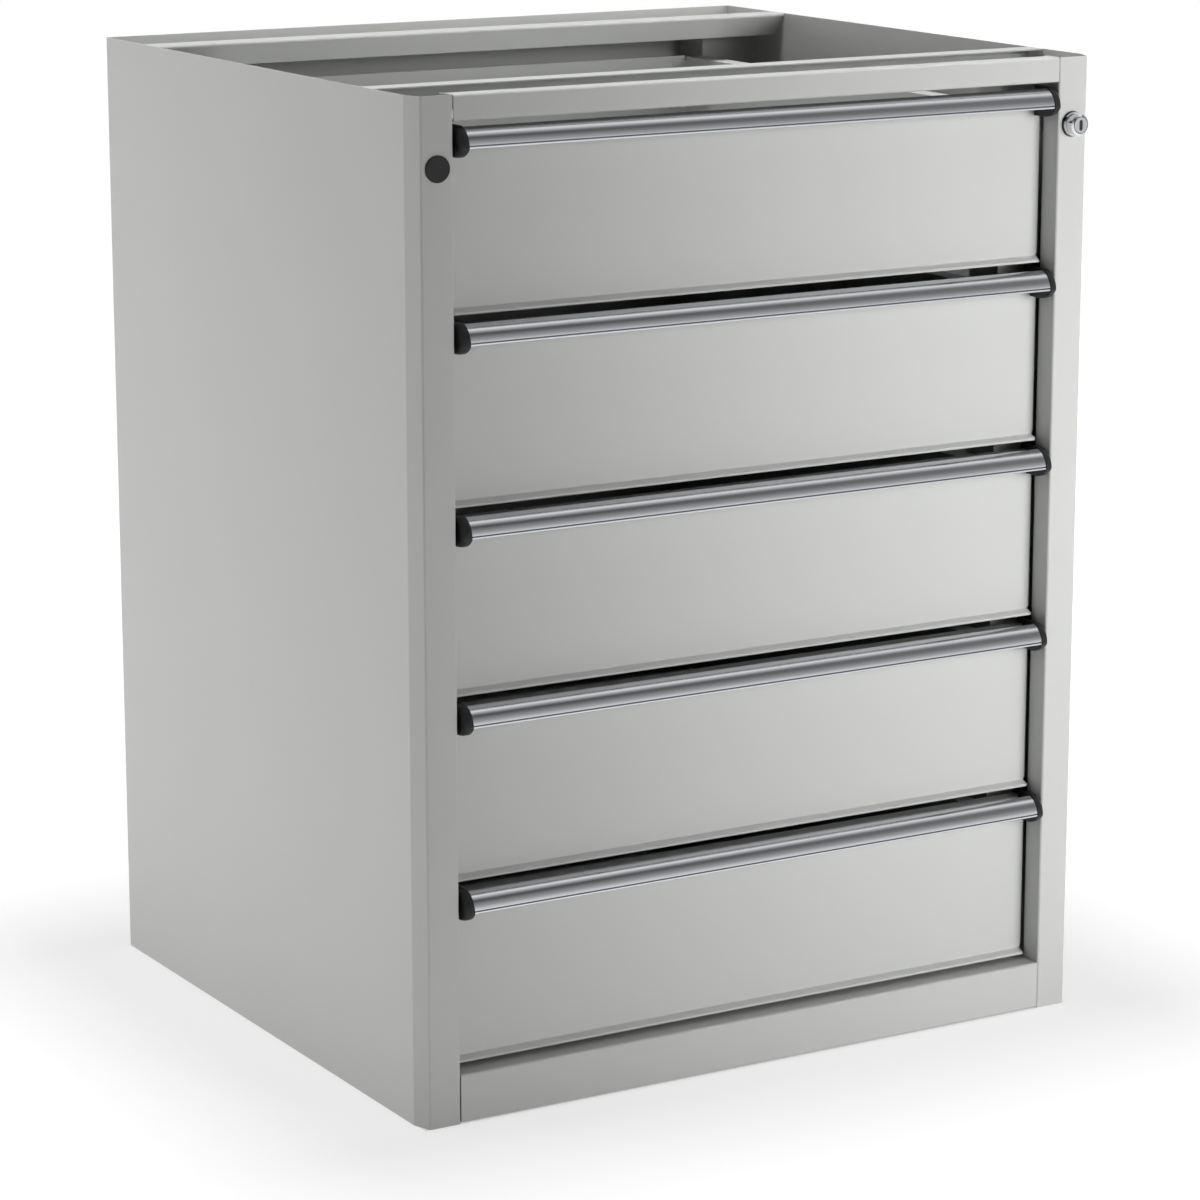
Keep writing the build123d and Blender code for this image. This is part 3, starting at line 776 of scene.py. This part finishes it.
class CABINET_OT_slides(bpy.types.Operator):
    """Plate the slides, roll their edges and rivet the inner rails to the trays"""

    bl_idname = "cabinet.slides"
    bl_label = "Slides"

    def execute(self, context):
        metal = context.scene.cabinet_metal
        finish = shared_finish("zinc_plate", zinc_plate, metal)
        rails = nodes_ending("_rails")
        give_finish(rails + nodes_ending("_catch"), finish)
        roll_edges(rails, metal.fold)
        for drawer in DRAWERS:
            low, high = (Vector(corner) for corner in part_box(f"{drawer}_inner_rails"))
            web_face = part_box(f"{drawer}_tray")[1].x + metal.rail_sheet
            mesh = bmesh.new()
            for side in SIDES:
                for share in RIVET_SHARES:
                    seat = Vector((
                        side * web_face,
                        low.y + (high.y - low.y) * share,
                        (low.z + high.z) / 2,
                    ))
                    lay_rivet(mesh, seat, side, metal.rivet)
            finished_piece(f"{drawer}_slide_rivets", mesh, drawer, finish, RIVET_CREASE)
        return {"FINISHED"}


class CABINET_OT_lock(bpy.types.Operator):
    """Chrome the lock, plate its bar and fit the black plug"""

    bl_idname = "cabinet.lock"
    bl_label = "Lock And Plug"

    def execute(self, context):
        metal = context.scene.cabinet_metal
        low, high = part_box("lock_barrel")
        axis = (Vector(low) + Vector(high)) / 2
        give_finish(["lock_case"], chrome_plate(metal, "rose_chrome", axis, ROSE_PAINTED_SHADE))
        give_finish(["lock_barrel"], chrome_plate(metal, "barrel_chrome", axis, BARREL_PAINTED_SHADE))
        give_finish(
            ["lock_nut", "lock_cam", "locking_bar", "locking_tabs"],
            shared_finish("zinc_plate", zinc_plate, metal),
        )
        plastic = shared_finish("black_moulded_plastic", black_plastic, context.scene.cabinet_cap)
        give_finish(["hole_plug", "bar_guides"], plastic)
        return {"FINISHED"}


# Stage


def looked_at(tree):
    """1 for rays from the camera, a reflection or glass, and 0 for light on its way round"""
    mirrored = tree.math("MAXIMUM", seen_by(tree, "Is Camera Ray"), seen_by(tree, "Is Glossy Ray"))
    return tree.math("MAXIMUM", mirrored, seen_by(tree, "Is Transmission Ray"))


def lay_floor(studio):
    """Pale floor that reads as white far from the cabinet and keeps its shadow, with painted shade under the
    cabinet's footprint
    """
    finish, tree = new_finish("pale_floor")
    place = tree.node("ShaderNodeTexCoord", output="Object")
    away = length_of(tree, place) * (1 / FLOOR_REACH)
    glow = graded(tree, FLOOR_GLOW, away)
    bounce = graded(tree, FLOOR_BOUNCE, away)
    glow = between(tree, seen_by(tree, "Is Glossy Ray"), glow, bounce)
    # Painted shade: the floor's glow turns black under the cabinet's footprint
    low, high = (Vector(corner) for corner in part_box("base_pan"))
    aside = vector_sum(tree, "SUBTRACT", place, (low + high) / 2)
    share = vector_sum(tree, "DIVIDE", aside, (high - low) / 2)
    share = tree.node("ShaderNodeVectorMath", {"operation": "ABSOLUTE"}, {0: share})
    reach = tree.math("MAXIMUM", along_axis(tree, share, "X"), along_axis(tree, share, "Y"))
    outside = spread_over(tree, reach, (FOOT_SHADE_EDGE_SHARE, 1), (0, 1))
    glow = between(tree, outside, (0, 0, 0, 1), glow)
    cloth = stretched_noise(tree, 40, 2)
    lit = tree.node("ShaderNodeBsdfPrincipled", {}, {
        "Base Color": (studio.floor_grey,) * 3 + (1,),
        "Roughness": 0.8 + cloth * 0.1,
        "Specular IOR Level": 0.0,
    })
    seen = tree.node("ShaderNodeBsdfPrincipled", {}, {
        "Base Color": (0.36, 0.36, 0.36, 1),
        "Roughness": 0.9,
        "Specular IOR Level": 0.0,
        "Emission Color": glow,
        "Emission Strength": 1.0,
    })
    shader = tree.node("ShaderNodeMixShader", {}, {0: looked_at(tree), 1: lit, 2: seen})
    tree.node("ShaderNodeOutputMaterial", {}, {"Surface": shader})
    mesh = bmesh.new()
    bmesh.ops.create_circle(mesh, cap_ends=True, segments=FLOOR_SEGMENTS, radius=FLOOR_RADIUS)
    data = bpy.data.meshes.new("studio_floor")
    mesh.to_mesh(data)
    mesh.free()
    data.materials.append(finish)
    floor = bpy.data.objects.new("studio_floor", data)
    floor.location.z = -FLOOR_DROP
    bpy.context.scene.collection.objects.link(floor)


def light_world(studio):
    """White to the camera, even light on the cabinet and soft bands for the metal to mirror"""
    world = bpy.data.worlds.new("studio_world")
    world.use_nodes = True
    world.node_tree.nodes.clear()
    tree = Wire(world.node_tree)
    towards = tree.node("ShaderNodeTexCoord", output="Generated")
    over = along_axis(tree, towards, "Z")
    ahead = 0 - along_axis(tree, towards, "Y")
    bands = graded(tree, MIRROR_BANDS, tree.math("ARCTAN2", over, ahead) * (1 / pi))
    haze = spread_over(tree, along_axis(tree, towards, "X"), HAZE_SPAN, HAZE_LEVELS)
    mirrored = tree.math("MAXIMUM", bands, haze)
    even = tree.node("ShaderNodeBackground", {}, {0: (1, 1, 1, 1), 1: studio.ambient})
    banded = tree.node("ShaderNodeBackground", {}, {0: mirrored, 1: MIRROR_STRENGTH})
    white = tree.node("ShaderNodeBackground", {}, {0: (1, 1, 1, 1), 1: 1.0})
    direct = tree.math("MAXIMUM", seen_by(tree, "Is Camera Ray"), seen_by(tree, "Is Transmission Ray"))
    shown = tree.node("ShaderNodeMixShader", {}, {0: seen_by(tree, "Is Glossy Ray"), 1: even, 2: banded})
    shown = tree.node("ShaderNodeMixShader", {}, {0: direct, 1: shown, 2: white})
    tree.node("ShaderNodeOutputWorld", {}, {"Surface": shown})
    bpy.context.scene.world = world


def hang_lamp(name, place, target, width, height, watts, spread):
    """A soft rectangular lamp that neither the camera nor the metal shows"""
    data = bpy.data.lights.new(name, "AREA")
    data.shape = "RECTANGLE"
    data.size = width
    data.size_y = height
    data.energy = watts
    data.spread = spread
    lamp = bpy.data.objects.new(name, data)
    lamp.location = place
    lamp.rotation_euler = (Vector(target) - Vector(place)).to_track_quat("-Z", "Y").to_euler()
    lamp.visible_camera = False
    lamp.visible_glossy = False
    bpy.context.scene.collection.objects.link(lamp)


class CABINET_OT_studio(bpy.types.Operator):
    """Set up the camera, the lamps, the floor and the white background"""

    bl_idname = "cabinet.studio"
    bl_label = "Studio"

    def execute(self, context):
        studio = context.scene.cabinet_studio
        data = bpy.data.cameras.new("studio_camera")
        data.lens = studio.lens
        camera = bpy.data.objects.new("studio_camera", data)
        camera.location = studio.place
        camera.rotation_euler = (pi / 2 - studio.pitch, 0, -studio.yaw)
        context.scene.collection.objects.link(camera)
        context.scene.camera = camera
        context.scene.view_settings.view_transform = "Standard"
        lay_floor(studio)
        light_world(studio)
        for name, lamp in LAMPS.items():
            hang_lamp(name, **lamp)
        return {"FINISHED"}


class CABINET_PT_finish(bpy.types.Panel):
    """Lists the cabinet's pieces and their sizes"""

    bl_idname = "CABINET_PT_finish"
    bl_label = "Drawer Cabinet"
    bl_space_type = "VIEW_3D"
    bl_region_type = "UI"
    bl_category = "Cabinet"

    def draw(self, context):
        for maker in OPERATORS:
            self.layout.operator(maker.bl_idname)
        for name, group in GROUPS.items():
            box = self.layout.box()
            box.label(text=group.__doc__)
            for key in group.__annotations__:
                box.prop(getattr(context.scene, name), key)


GROUPS = {
    "cabinet_paint": CabinetPaint,
    "cabinet_strip": CabinetStrip,
    "cabinet_cap": CabinetCap,
    "cabinet_metal": CabinetMetal,
    "cabinet_studio": CabinetStudio,
}
OPERATORS = (
    CABINET_OT_paint_sheets,
    CABINET_OT_grip_strips,
    CABINET_OT_end_caps,
    CABINET_OT_slides,
    CABINET_OT_lock,
    CABINET_OT_studio,
)


def register():
    for name, group in GROUPS.items():
        bpy.utils.register_class(group)
        setattr(bpy.types.Scene, name, bpy.props.PointerProperty(type=group))
    for maker in OPERATORS:
        bpy.utils.register_class(maker)
    bpy.utils.register_class(CABINET_PT_finish)


def unregister():
    bpy.utils.unregister_class(CABINET_PT_finish)
    for maker in reversed(OPERATORS):
        bpy.utils.unregister_class(maker)
    for name, group in GROUPS.items():
        delattr(bpy.types.Scene, name)
        bpy.utils.unregister_class(group)


def main():
    register()
    bpy.ops.cabinet.paint_sheets()
    bpy.ops.cabinet.grip_strips()
    bpy.ops.cabinet.end_caps()
    bpy.ops.cabinet.slides()
    bpy.ops.cabinet.lock()
    bpy.ops.cabinet.studio()


if __name__ == "__main__":
    main()
